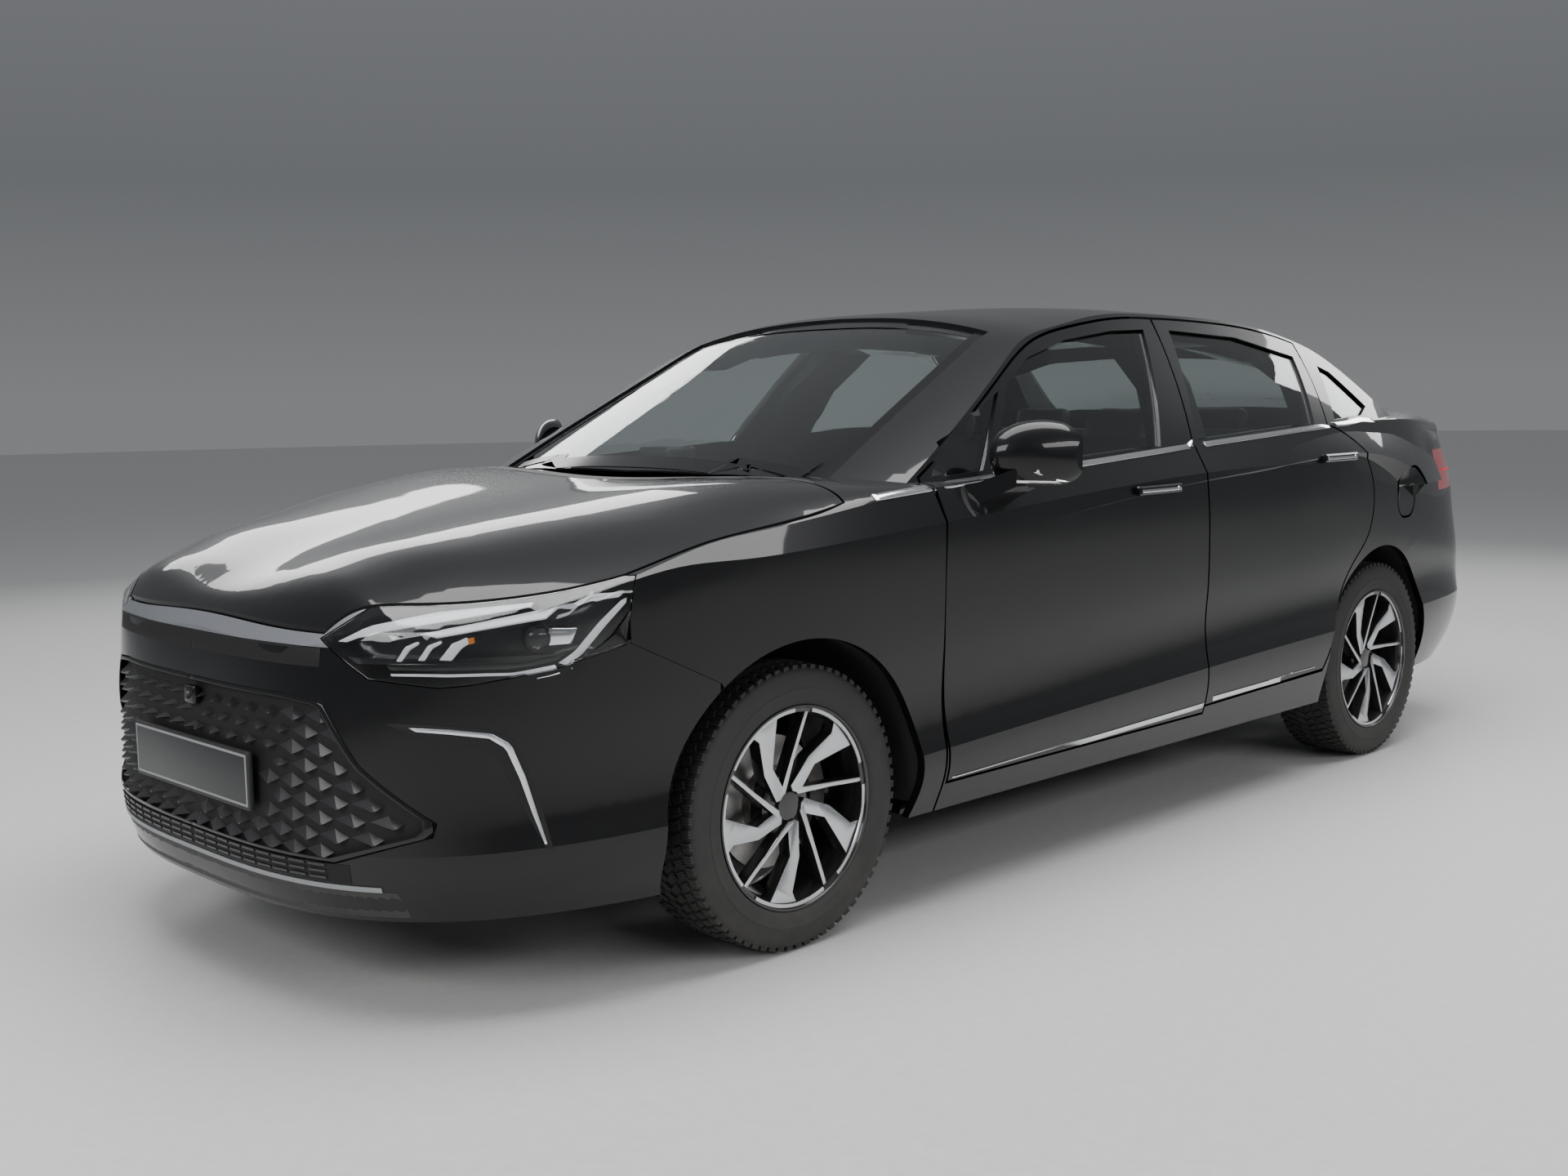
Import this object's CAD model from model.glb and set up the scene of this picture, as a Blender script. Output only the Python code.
# %% [markdown]
# A black four-door sedan stands on a pale studio floor. The rigid pieces come from the packed
# model, at their real size. This file gives them paint, glass, rubber and light, and adds what
# is too fine for the solids: tread, lamp insides, grille mesh, trim strips, seams and stitching.

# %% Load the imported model
import math
import bmesh
import bpy
from mathutils import Matrix, Vector


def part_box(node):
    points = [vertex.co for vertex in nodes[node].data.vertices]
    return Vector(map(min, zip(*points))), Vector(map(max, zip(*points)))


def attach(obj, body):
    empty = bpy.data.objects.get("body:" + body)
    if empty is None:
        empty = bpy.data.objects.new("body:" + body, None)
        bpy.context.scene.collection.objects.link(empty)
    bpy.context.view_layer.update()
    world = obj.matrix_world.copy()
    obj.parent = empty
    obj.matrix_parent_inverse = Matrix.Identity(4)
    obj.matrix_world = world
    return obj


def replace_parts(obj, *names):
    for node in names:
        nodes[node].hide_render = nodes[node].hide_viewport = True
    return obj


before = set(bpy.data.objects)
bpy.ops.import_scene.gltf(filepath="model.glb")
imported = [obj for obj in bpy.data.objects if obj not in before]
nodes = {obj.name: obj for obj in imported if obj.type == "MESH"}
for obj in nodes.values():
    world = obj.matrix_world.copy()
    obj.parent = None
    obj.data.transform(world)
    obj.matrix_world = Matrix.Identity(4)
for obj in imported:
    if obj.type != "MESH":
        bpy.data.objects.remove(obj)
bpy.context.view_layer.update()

print("pieces in the model:", len(nodes))

# %% [markdown]
# The photograph was taken from ahead of the front left wheel, at about chest height, with a wide
# lens. The place, the turn and the lens below were fitted to the wheel centres, the plate and the
# roof, so that a point of the car lands on the same pixel as in the photograph.

# %% Camera
camera_data = bpy.data.cameras.new("camera")
camera_data.lens = 38.57
camera_data.sensor_width = 36
camera_data.clip_end = 200
camera = bpy.data.objects.new("camera", camera_data)
bpy.context.scene.collection.objects.link(camera)
bpy.context.scene.camera = camera
yaw, pitch, roll = math.radians(225.5709), math.radians(-6.6732), math.radians(-0.9060)
forward = Vector((math.cos(yaw) * math.cos(pitch), math.sin(yaw) * math.cos(pitch), math.sin(pitch)))
level_right = forward.cross(Vector((0, 0, 1))).normalized()
level_up = level_right.cross(forward)
right = level_right * math.cos(roll) + level_up * math.sin(roll)
up = level_up * math.cos(roll) - level_right * math.sin(roll)
camera_turn = Matrix((right, up, -forward)).transposed().to_4x4()
camera.matrix_world = Matrix.Translation((3.86448, 3.40149, 1.21947)) @ camera_turn

# %% [markdown]
# A black glossy body shows nothing but its surroundings, so the light is part of the model's
# look. Outdoors the hood and roof mirror a grey sky and the doors mirror dark ground. In the
# studio a bright panel overhead stands in for the sky, and the floor and a dim horizon for the
# rest. Area lights are softer than points and give long clean highlights.

# %% Floor, sky and lights
floor_mesh = bpy.data.meshes.new("floor")
sheet = bmesh.new()
bmesh.ops.create_circle(sheet, cap_ends=True, radius=40, segments=96)
sheet.to_mesh(floor_mesh)
sheet.free()
floor = bpy.data.objects.new("floor", floor_mesh)
bpy.context.scene.collection.objects.link(floor)

world = bpy.data.worlds.new("studio")
bpy.context.scene.world = world
world.use_nodes = True
sky = world.node_tree
background = sky.nodes["Background"]
direction = sky.nodes.new("ShaderNodeTexCoord")
split = sky.nodes.new("ShaderNodeSeparateXYZ")
ramp = sky.nodes.new("ShaderNodeValToRGB")
sky.links.new(direction.outputs["Generated"], split.inputs[0])
sky.links.new(split.outputs["Z"], ramp.inputs[0])
sky.links.new(ramp.outputs[0], background.inputs["Color"])
ramp.color_ramp.elements[0].position = 0.0
ramp.color_ramp.elements[0].color = (0.62, 0.64, 0.66, 1)
ramp.color_ramp.elements[1].position = 0.75
ramp.color_ramp.elements[1].color = (0.86, 0.88, 0.92, 1)
low = ramp.color_ramp.elements.new(0.12)
low.color = (0.42, 0.44, 0.46, 1)
background.inputs["Strength"].default_value = 0.34


def softbox(name, place, target, size, power):
    """A rectangular studio light that looks at a target."""
    data = bpy.data.lights.new(name, "AREA")
    data.shape = "RECTANGLE"
    data.size, data.size_y = size
    data.energy = power
    lamp = bpy.data.objects.new(name, data)
    bpy.context.scene.collection.objects.link(lamp)
    turn = (Vector(target) - Vector(place)).to_track_quat("-Z", "Y")
    lamp.matrix_world = Matrix.Translation(place) @ turn.to_matrix().to_4x4()
    return lamp


softbox("overhead_panel", (0.5, 0.6, 5.2), (0.2, 0, 0), (6.5, 3.2), 400)
softbox("front_panel", (6.5, 1.0, 3.2), (1.5, 0, 0.6), (3.0, 2.0), 120)
softbox("left_strip", (0.5, 7.0, 3.4), (0, 0.5, 0.6), (7.0, 1.2), 170)
softbox("right_strip", (-1.0, -6.5, 3.6), (0, -0.5, 0.6), (6.0, 1.5), 110)
softbox("tail_panel", (-7.0, 0.0, 3.5), (-2.0, 0, 0.6), (3.5, 1.5), 90)
print("lights:", len(bpy.data.lights))

# %% [markdown]
# Dust, fine grain and orange peel appear on many finishes, so each is one node group with its
# own sockets. Dust lies on the lower body where the wheels throw it, so its mask fades with
# height. Object coordinates fit, because every piece keeps its place in its mesh.

# %% Shared effects
def group(name, inputs, outputs):
    """An empty shader node group with named number sockets."""
    tree = bpy.data.node_groups.new(name, "ShaderNodeTree")
    for label, value in inputs:
        socket = tree.interface.new_socket(label, in_out="INPUT", socket_type="NodeSocketFloat")
        socket.default_value = value
    for label in outputs:
        tree.interface.new_socket(label, in_out="OUTPUT", socket_type="NodeSocketFloat")
    return tree, tree.nodes.new("NodeGroupInput"), tree.nodes.new("NodeGroupOutput")


def math_node(tree, operation, a, b=None, clamp=False):
    """A Math node fed by sockets or plain numbers."""
    node = tree.nodes.new("ShaderNodeMath")
    node.operation = operation
    node.use_clamp = clamp
    for k, item in enumerate((a, b)):
        if item is None:
            continue
        if isinstance(item, (int, float)):
            node.inputs[k].default_value = item
        else:
            tree.links.new(item, node.inputs[k])
    return node.outputs[0]


def noise(tree, scale, detail=3.0, roughness=0.5):
    """Noise over Object coordinates."""
    coordinates = tree.nodes.new("ShaderNodeTexCoord")
    texture = tree.nodes.new("ShaderNodeTexNoise")
    texture.inputs["Detail"].default_value = detail
    texture.inputs["Roughness"].default_value = roughness
    tree.links.new(coordinates.outputs["Object"], texture.inputs["Vector"])
    if isinstance(scale, (int, float)):
        texture.inputs["Scale"].default_value = scale
    else:
        tree.links.new(scale, texture.inputs["Scale"])
    return texture.outputs[0]


grain_group, given, result = group("fine_grain", (("Scale", 400.0), ("Amount", 0.5)),
                                   ("Height", "Shade"))
speck = noise(grain_group, given.outputs["Scale"])
grain_group.links.new(math_node(grain_group, "MULTIPLY", speck, given.outputs["Amount"]),
                      result.inputs["Height"])
grain_group.links.new(speck, result.inputs["Shade"])

dust_group, given, result = group("road_dust", (("Top", 0.55), ("Amount", 0.5)), ("Mask",))
place = dust_group.nodes.new("ShaderNodeTexCoord")
parts = dust_group.nodes.new("ShaderNodeSeparateXYZ")
dust_group.links.new(place.outputs["Object"], parts.inputs[0])
fade = math_node(dust_group, "SUBTRACT", 1.0, math_node(dust_group, "DIVIDE", parts.outputs["Z"],
                                                        given.outputs["Top"]), True)
patches = math_node(dust_group, "POWER", noise(dust_group, 14.0, 8.0, 0.7), 1.5)
both_masks = math_node(dust_group, "MULTIPLY", math_node(dust_group, "POWER", fade, 1.6), patches)
dust_group.links.new(math_node(dust_group, "MULTIPLY", both_masks, given.outputs["Amount"], True),
                     result.inputs["Mask"])


class Finish:
    """A material with its Principled shader and short ways to feed it."""

    def __init__(self, name, color, roughness, metallic=0.0):
        self.material = bpy.data.materials.new(name)
        self.material.use_nodes = True
        self.tree = self.material.node_tree
        self.shader = self.tree.nodes["Principled BSDF"]
        self.set("Base Color", (*color, 1))
        self.set("Roughness", roughness)
        self.set("Metallic", metallic)
        self.color = color
        self.roughness = roughness

    def set(self, socket, value):
        self.shader.inputs[socket].default_value = value

    def effect(self, tree, **values):
        """Places a shared group in this material."""
        node = self.tree.nodes.new("ShaderNodeGroup")
        node.node_tree = tree
        for label, value in values.items():
            node.inputs[label].default_value = value
        return node

    def bump(self, height, distance, strength=1.0):
        node = self.tree.nodes.new("ShaderNodeBump")
        node.inputs["Distance"].default_value = distance
        node.inputs["Strength"].default_value = strength
        self.tree.links.new(height, node.inputs["Height"])
        self.tree.links.new(node.outputs[0], self.shader.inputs["Normal"])

    def mix(self, factor, first, second):
        """A colour that runs from first to second by a factor."""
        node = self.tree.nodes.new("ShaderNodeMix")
        node.data_type = "RGBA"
        self.tree.links.new(factor, node.inputs[0])
        for k, item in ((6, first), (7, second)):
            if isinstance(item, tuple):
                node.inputs[k].default_value = (*item, 1)
            else:
                self.tree.links.new(item, node.inputs[k])
        return node.outputs[2]

    def grained(self, scale, amount, height=None, shades=None):
        """Fine grain: height is its bump in metres, shades the range of roughness it gives."""
        grain = self.effect(grain_group, Scale=scale, Amount=amount)
        if height:
            self.bump(grain.outputs["Height"], height)
        if shades:
            self.roughness_range(grain.outputs["Shade"], *shades)

    def color_from(self, socket):
        self.tree.links.new(socket, self.shader.inputs["Base Color"])

    def roughness_range(self, factor, low, high):
        node = self.tree.nodes.new("ShaderNodeMapRange")
        node.inputs["To Min"].default_value = low
        node.inputs["To Max"].default_value = high
        self.tree.links.new(factor, node.inputs["Value"])
        self.tree.links.new(node.outputs[0], self.shader.inputs["Roughness"])

    def dusty(self, top, amount, tint=(0.16, 0.15, 0.135), rough=0.75):
        """Lays road dust over the colour and dulls the gloss under it."""
        mask = self.effect(dust_group, Top=top, Amount=amount).outputs["Mask"]
        self.color_from(self.mix(mask, self.color, tint))
        self.roughness_range(mask, self.roughness, rough)
        return mask


# %% [markdown]
# The body is painted black under a clear coat. The clear coat gives the sharp reflections, so
# the base under it can be nearly black and a little rough. The coat is faintly wavy like orange
# peel, which keeps long reflections from looking like plastic film.

# %% Paint and bare metals
paint = Finish("black_paint", (0.0035, 0.0037, 0.0045), 0.35)
paint.set("Coat Weight", 1.0)
paint.set("Coat Roughness", 0.03)
paint.set("Coat IOR", 1.38)
paint.set("Specular IOR Level", 0.12)
paint.dusty(0.62, 0.10)
paint.grained(900.0, 0.35, height=0.00002)

satin_silver = Finish("satin_silver", (0.86, 0.87, 0.92), 0.42, 1.0)
satin_silver.grained(1500.0, 0.4, height=0.00003, shades=(0.2, 0.34))

chrome = Finish("bright_chrome", (0.86, 0.87, 0.88), 0.06, 1.0)
chrome.grained(60.0, 0.3, shades=(0.03, 0.12))

bare_steel = Finish("coated_steel", (0.05, 0.05, 0.052), 0.55, 0.4)
bare_steel.dusty(0.7, 0.9)
bare_steel.grained(250.0, 0.8, height=0.0002)

cast_iron = Finish("cast_iron", (0.11, 0.105, 0.1), 0.6, 0.8)
cast_iron.grained(350.0, 1.0, height=0.0004, shades=(0.45, 0.8))

# %% [markdown]
# Bumper inserts, grille and cowl are moulded in black plastic: one grade is glossy like piano
# lacquer, the other is grained and dull. Rubber is darker and softer still.

# %% Plastics and rubber
gloss_plastic = Finish("gloss_black_plastic", (0.009, 0.009, 0.01), 0.14)
gloss_plastic.dusty(0.5, 0.35)
gloss_plastic.grained(500.0, 0.3, height=0.00003)

dull_plastic = Finish("grained_black_plastic", (0.02, 0.02, 0.021), 0.5)
dull_plastic.grained(1100.0, 1.0, height=0.00025)
dull_plastic.dusty(0.6, 0.6)

rubber = Finish("seal_rubber", (0.012, 0.012, 0.012), 0.62)
rubber.grained(700.0, 1.0, height=0.0001, shades=(0.5, 0.72))

tyre_rubber = Finish("tyre_rubber", (0.018, 0.018, 0.0185), 0.7)
tyre_rubber.grained(450.0, 1.0, height=0.0002)
tyre_rubber.dusty(0.9, 0.9, (0.085, 0.08, 0.072), 0.85)

# %% [markdown]
# Window glass is thin and slightly tinted. Full transmission with no base colour change lets
# the cabin show through, and its outer face mirrors the studio.

# %% Glass and lamps
glass = Finish("window_glass", (0.80, 0.86, 0.85), 0.0)
glass.set("Transmission Weight", 1.0)
glass.set("IOR", 1.45)

lamp_glass = Finish("lamp_glass", (0.96, 0.97, 0.98), 0.0)
lamp_glass.set("Transmission Weight", 1.0)
lamp_glass.set("IOR", 1.4)

red_glass = Finish("red_lamp_glass", (0.45, 0.005, 0.01), 0.08)
red_glass.set("Coat Weight", 1.0)
red_glass.grained(220.0, 0.5, height=0.0003)

# %% [markdown]
# The cabin is trimmed in grey, soft grained mouldings. The woven cloth goes on the solid model's
# plain seats, which softer pads replace further down.

# %% Cabin finishes
trim_grey = Finish("soft_trim", (0.035, 0.035, 0.037), 0.6)
trim_grey.grained(900.0, 1.0, height=0.0003, shades=(0.5, 0.7))

seat_cloth = Finish("seat_cloth", (0.10, 0.10, 0.105), 0.9)
weave = seat_cloth.effect(grain_group, Scale=1400.0, Amount=1.0)
seat_cloth.color_from(seat_cloth.mix(weave.outputs["Shade"], (0.07, 0.07, 0.075), (0.14, 0.14, 0.15)))
seat_cloth.bump(weave.outputs["Height"], 0.0006)

floor_finish = Finish("studio_floor", (0.68, 0.68, 0.67), 0.6)
floor_speck = floor_finish.effect(grain_group, Scale=35.0, Amount=1.0)
floor_finish.color_from(floor_finish.mix(floor_speck.outputs["Shade"], (0.56, 0.56, 0.55),
                                         (0.66, 0.66, 0.65)))
floor_finish.roughness_range(floor_speck.outputs["Shade"], 0.45, 0.65)
floor.data.materials.append(floor_finish.material)


def dress(finish, *names):
    """Gives pieces of the model a finish."""
    for name in names:
        slots = nodes[name].data.materials
        for k in range(len(slots)):
            slots[k] = finish.material
        if not slots:
            slots.append(finish.material)


SIDES = ("left", "right")
dress(paint, "body_shell", "front_fenders", "front_bumper", "rear_bumper", "hood", "trunk_lid",
      "fuel_flap", "front_frame",
      *[end + "_door_" + side for side in SIDES for end in ("front", "rear")],
      *["mirror_" + side for side in SIDES])
dress(glass, "windscreen", "rear_window", "quarter_windows",
      *[end + "_door_glass_" + side for side in SIDES for end in ("front", "rear")])
dress(lamp_glass, "headlamps")
dress(red_glass, "tail_lamps")
dress(satin_silver, "nose_trim")
dress(gloss_plastic, "radiator_grille")
dress(dull_plastic, "cowl_and_wipers", "wheel_liners", "fuel_tank")
dress(bare_steel, "floor_pan", "front_subframe", "rear_axle", "exhaust")
dress(cast_iron, "engine_block", "knuckle_left", "knuckle_right")
dress(trim_grey, "dashboard", "steering_wheel")
dress(seat_cloth, "front_seats", "rear_bench")
CORNERS = ("front_left", "front_right", "rear_left", "rear_right")
for corner in CORNERS:
    dress(tyre_rubber, "tyre_" + corner)
    dress(satin_silver, "rim_" + corner)

# %% [markdown]
# Pieces such as trim strips have to follow the curved panels. A ray sent at a panel from outside
# finds its surface, so each strip is laid on the real curve and no place is guessed. The strip
# itself starts as a line of edges that is extruded to a band and given a thickness.

# %% Tools for new pieces
from mathutils.bvhtree import BVHTree

AXLE_X = (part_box("rim_front_left")[0].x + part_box("rim_front_left")[1].x) / 2
OUT = {"left": 1, "right": -1}
MERGE = 0.00002  # metres: points of a CAD mesh that are closer than this are one


def spin_round(sheet, verts, degrees, axis):
    """Turns some points about an axis through the origin."""
    bmesh.ops.rotate(sheet, verts=verts, cent=(0, 0, 0),
                     matrix=Matrix.Rotation(math.radians(degrees), 3, axis))


def whole(sheet):
    """Every point, edge and face of a bmesh."""
    return list(sheet.verts) + list(sheet.edges) + list(sheet.faces)


def merged(name):
    """A copy of a CAD node's mesh with its loose triangles joined."""
    sheet = bmesh.new()
    sheet.from_mesh(nodes[name].data)
    bmesh.ops.remove_doubles(sheet, verts=sheet.verts, dist=MERGE)
    return sheet


def surface_of(*names):
    """The skin of the named pieces, ready to be hit by rays."""
    joined = bmesh.new()
    for name in names:
        joined.from_mesh(nodes[name].data)
    tree = BVHTree.FromBMesh(joined)
    joined.free()
    return tree


def lay(skin, point, outward, lift=0.0):
    """Drops a point on a skin from outside and lifts it by a little."""
    outward = Vector(outward).normalized()
    hit, normal, _, _ = skin.ray_cast(Vector(point) + outward, -outward, 2.5)
    if hit is None:
        hit, normal, _, _ = skin.find_nearest(Vector(point))
    if normal.dot(outward) < 0:
        normal = -normal
    return hit + normal * lift


def between(points, count):
    """Evenly spaced points along straight runs between the given ones."""
    points = [Vector(point) for point in points]
    lengths = [(b - a).length for a, b in zip(points, points[1:])]
    total, row = sum(lengths), []
    for k in range(count):
        reach, leg = total * k / (count - 1), 0
        while leg < len(lengths) - 1 and reach > lengths[leg]:
            reach -= lengths[leg]
            leg += 1
        row.append(points[leg].lerp(points[leg + 1], min(reach / lengths[leg], 1)))
    return row


def publish(name, sheet, finish, body, angle=35, second=None):
    """Turns a bmesh into a finished piece that rides on a body."""
    mesh = bpy.data.meshes.new(name)
    sheet.to_mesh(mesh)
    sheet.free()
    mesh.materials.append(finish.material)
    if second:
        mesh.materials.append(second.material)
    mesh.shade_smooth()
    mesh.set_sharp_from_angle(angle=math.radians(angle))
    piece = bpy.data.objects.new(name, mesh)
    bpy.context.scene.collection.objects.link(piece)
    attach(piece, body)
    return piece


def band(low, high, thickness, outward, soft=0.3):
    """A band between two rows of points, thickened inwards from its outer face."""
    sheet = bmesh.new()
    row = [sheet.verts.new(point) for point in low]
    edges = [sheet.edges.new(pair) for pair in zip(row, row[1:])]
    fresh = [item for item in bmesh.ops.extrude_edge_only(sheet, edges=edges)["geom"]
             if isinstance(item, bmesh.types.BMVert)]
    for vert in fresh:
        nearest = min(range(len(low)), key=lambda k: (low[k] - vert.co).length)
        vert.co = high[nearest]
    sheet.normal_update()
    faces = list(sheet.faces)
    if faces[0].normal.dot(Vector(outward)) < 0:
        bmesh.ops.reverse_faces(sheet, faces=faces)
    bmesh.ops.solidify(sheet, geom=faces, thickness=thickness)
    bmesh.ops.recalc_face_normals(sheet, faces=sheet.faces)
    if soft:
        rim = [edge for edge in sheet.edges if len(edge.link_faces) == 2 and edge.calc_face_angle(0) > 1]
        bmesh.ops.bevel(sheet, geom=rim, offset=thickness * soft, segments=2, profile=0.5,
                        affect="EDGES", material=-1, clamp_overlap=True)
    return sheet


def strip(name, skin, points, outward, width, thickness, finish, body, count=24, rise=(0, 0, 1)):
    """A narrow trim strip laid on a skin along a line."""
    rise = Vector(rise) * width / 2
    line = between(points, count)
    low = [lay(skin, point - rise, outward, thickness * 0.8) for point in line]
    high = [lay(skin, point + rise, outward, thickness * 0.8) for point in line]
    return publish(name, band(low, high, thickness, outward), finish, body)


print("front axle at x =", round(AXLE_X, 4))

# %% [markdown]
# A wheel of this kind is cast in one piece, painted black, and then its face is turned on a
# lathe so that bright metal shows on the flats only. The barrel and lip are a turned profile, so
# `spin` makes them. A spoke pair is a bent blade and a thin bar that meet near the hub: each is
# one outline that is extruded, softened along its edges and repeated five times round the axle.

# %% Wheel finishes
machined = Finish("machined_alloy", (0.62, 0.63, 0.65), 0.22, 1.0)
machined.grained(700.0, 0.6, height=0.00003, shades=(0.16, 0.34))
wheel_black = Finish("gloss_black_wheel", (0.010, 0.010, 0.011), 0.16)
wheel_black.set("Coat Weight", 0.6)
wheel_black.dusty(0.9, 0.35, (0.09, 0.08, 0.07))
disc_steel = Finish("brake_disc_steel", (0.42, 0.41, 0.40), 0.34, 1.0)
disc_steel.grained(300.0, 0.7, shades=(0.25, 0.5))

# %% Wheel parts
AXIS = Vector((0, 1, 0))
SPOKES = 5
TREAD_BLOCKS = 72
RIM = 0.2257
FACE_Y = 0.087
BLADE = ((-0.060, 0.150), (-0.160, 0.290), (-0.250, 0.415), (-0.243, 0.560), (-0.232, 0.750),
         (-0.218, 0.935),
         (-0.330, 0.890), (-0.450, 0.835), (-0.560, 0.765), (-0.505, 0.735), (-0.455, 0.700),
         (-0.412, 0.530),
         (-0.368, 0.360), (-0.275, 0.215), (-0.185, 0.070), (-0.125, 0.075))
THIN = ((-0.150, 0.095), (-0.070, 0.310), (0.010, 0.530), (0.085, 0.735), (0.160, 0.945),
        (0.205, 0.935),
        (0.135, 0.735), (0.060, 0.530), (0.000, 0.330), (-0.060, 0.130))


def turned(sheet, profile, steps=72):
    """Spins a closed profile, given as width along the axle and radius, to a ring."""
    row = [sheet.verts.new((0, w, r)) for w, r in profile]
    edges = [sheet.edges.new(pair) for pair in zip(row, row[1:] + row[:1])]
    bmesh.ops.spin(sheet, geom=row + edges, cent=(0, 0, 0), axis=AXIS, steps=steps,
                   angle=math.tau, use_merge=True)
    bmesh.ops.remove_doubles(sheet, verts=sheet.verts, dist=MERGE)


def repeated(sheet, geom, count):
    """Copies geometry round the axle."""
    bmesh.ops.spin(sheet, geom=geom, cent=(0, 0, 0), axis=AXIS, steps=count - 1,
                   angle=math.tau * (count - 1) / count, use_duplicate=True)


def spoke_faces():
    """The five spoke pairs with bright faces and black sides."""
    sheet = bmesh.new()
    for outline in (BLADE, THIN):
        ring = [sheet.verts.new((-u * RIM, FACE_Y - 0.020 * (1 - math.hypot(u, v)), v * RIM)) for u,
                v in outline]
        sheet.faces.new(ring)
    sheet.normal_update()
    fronts = list(sheet.faces)
    for face in fronts:
        if face.normal.y < 0:
            face.normal_flip()
    grown = bmesh.ops.extrude_face_region(sheet, geom=fronts, use_keep_orig=True)
    backs = [item for item in grown["geom"] if isinstance(item, bmesh.types.BMVert)]
    bmesh.ops.translate(sheet, verts=backs, vec=(0, -0.034, 0))
    bmesh.ops.recalc_face_normals(sheet, faces=sheet.faces)
    fronts = [face for face in sheet.faces if face.normal.y > 0.8]
    rims = {edge for face in fronts for edge in face.edges}
    bmesh.ops.bevel(sheet, geom=list(rims), offset=0.0016, segments=2, profile=0.5, affect="EDGES",
                    material=-1)
    for face in sheet.faces:
        face.material_index = 1 if face.normal.y > 0.9 else 0
    repeated(sheet, whole(sheet), SPOKES)
    return sheet


def rim_arcs():
    """The bright arcs of the lip from each blade to the next thin spoke."""
    sheet = bmesh.new()
    row = [sheet.verts.new((0, w, r)) for w, r in ((0.0885, 0.2105), (0.0905, 0.2115), (0.0905, 0.2190),
                                                   (0.0870, 0.2195))]
    face = sheet.faces.new(row)
    spin_round(sheet, row, -14, AXIS)
    bmesh.ops.spin(sheet, geom=[face], cent=(0, 0, 0), axis=AXIS, steps=14, angle=math.radians(-58))
    bmesh.ops.recalc_face_normals(sheet, faces=sheet.faces)
    repeated(sheet, whole(sheet), SPOKES)
    return sheet


def barrel():
    """The rim's ring with its lip and its dropped centre."""
    sheet = bmesh.new()
    turned(sheet, ((0.0950, 0.2257), (0.0952, 0.2215), (0.0925, 0.2195), (0.0880, 0.2190),
                   (0.0860, 0.2105),
                   (0.0700, 0.2060), (0.0250, 0.2020), (-0.0500, 0.1980), (-0.0800, 0.2050),
                   (-0.0950, 0.2200),
                   (-0.0950, 0.2257), (-0.0600, 0.2245), (0.0600, 0.2245)), 96)
    bmesh.ops.recalc_face_normals(sheet, faces=sheet.faces)
    return sheet


def hub():
    """Hub pad, bare centre cap and five lug pockets with their bolts."""
    sheet = bmesh.new()
    turned(sheet, ((0.066, 0.0001), (0.066, 0.029), (0.0655, 0.0315), (0.062, 0.0325), (0.0585, 0.034),
                   (0.0585, 0.060),
                   (0.054, 0.070), (0.022, 0.074), (0.022, 0.0001)), 48)
    bolt = bmesh.ops.create_cone(sheet, cap_ends=True, segments=6, radius1=0.0098, radius2=0.0092,
                                 depth=0.016)["verts"]
    spin_round(sheet, bolt, -90, "X")
    bmesh.ops.translate(sheet, verts=bolt, vec=(0, 0.0625, 0.0512))
    spin_round(sheet, bolt, 40, AXIS)
    faces = {face for vert in bolt for face in vert.link_faces}
    for face in faces:
        face.material_index = 1
    edges = {edge for vert in bolt for edge in vert.link_edges}
    repeated(sheet, list(bolt) + list(edges) + list(faces), SPOKES)
    bmesh.ops.recalc_face_normals(sheet, faces=sheet.faces)
    return sheet


def brake_disc():
    """A vented disc: two plates with a dark gap between them and a hat."""
    sheet = bmesh.new()
    turned(sheet, ((0.002, 0.149), (0.0022, 0.082), (0.021, 0.078), (0.021, 0.064), (-0.020, 0.064),
                   (-0.020, 0.149),
                   (-0.0125, 0.150), (-0.0120, 0.140), (-0.0060, 0.140), (-0.0055, 0.150)), 72)
    bmesh.ops.recalc_face_normals(sheet, faces=sheet.faces)
    return sheet


def tyre():
    """Sidewall, bead and belt of a tyre, with block tread cut by sipes."""
    sheet = bmesh.new()
    side = ((0.0905, 0.2262), (0.0955, 0.2300), (0.0985, 0.2370), (0.0990, 0.2380), (0.1010, 0.2480),
            (0.1021, 0.2580),
            (0.1023, 0.2585), (0.1023, 0.2640), (0.1014, 0.2645), (0.1008, 0.2750), (0.0995, 0.2860),
            (0.0968, 0.2960),
            (0.0945, 0.3010), (0.0900, 0.3060), (0.0820, 0.3090), (0.0400, 0.3105))
    turned(sheet, side + tuple((-w, r) for w, r in reversed(side)), 96)
    bmesh.ops.recalc_face_normals(sheet, faces=sheet.faces)
    for offset, width, lean, turn in ((0.0790, 0.0240, 6, 0.0), (0.0500, 0.0250, 24, 0.5),
                                      (0.0170, 0.0280, 38, 0.0)):
        for way in (1, -1):
            for slice_place in (-0.0056, 0.0, 0.0056):
                block = bmesh.ops.create_cube(sheet, size=1)["verts"]
                bmesh.ops.scale(sheet, verts=block, vec=(0.0048, width, 0.0115))
                bmesh.ops.translate(sheet, verts=block, vec=(slice_place, 0, 0))
                spin_round(sheet, block, lean * way, "Z")
                bmesh.ops.translate(sheet, verts=block,
                                    vec=(0, offset * way, 0.3120 - 0.0035 * (offset / 0.079) ** 2))
                spin_round(sheet, block, 5 * turn, AXIS)
                repeated(sheet, block + list({e for v in block for e in v.link_edges})
                         + list({f for v in block for f in v.link_faces}), TREAD_BLOCKS)
    return sheet


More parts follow.
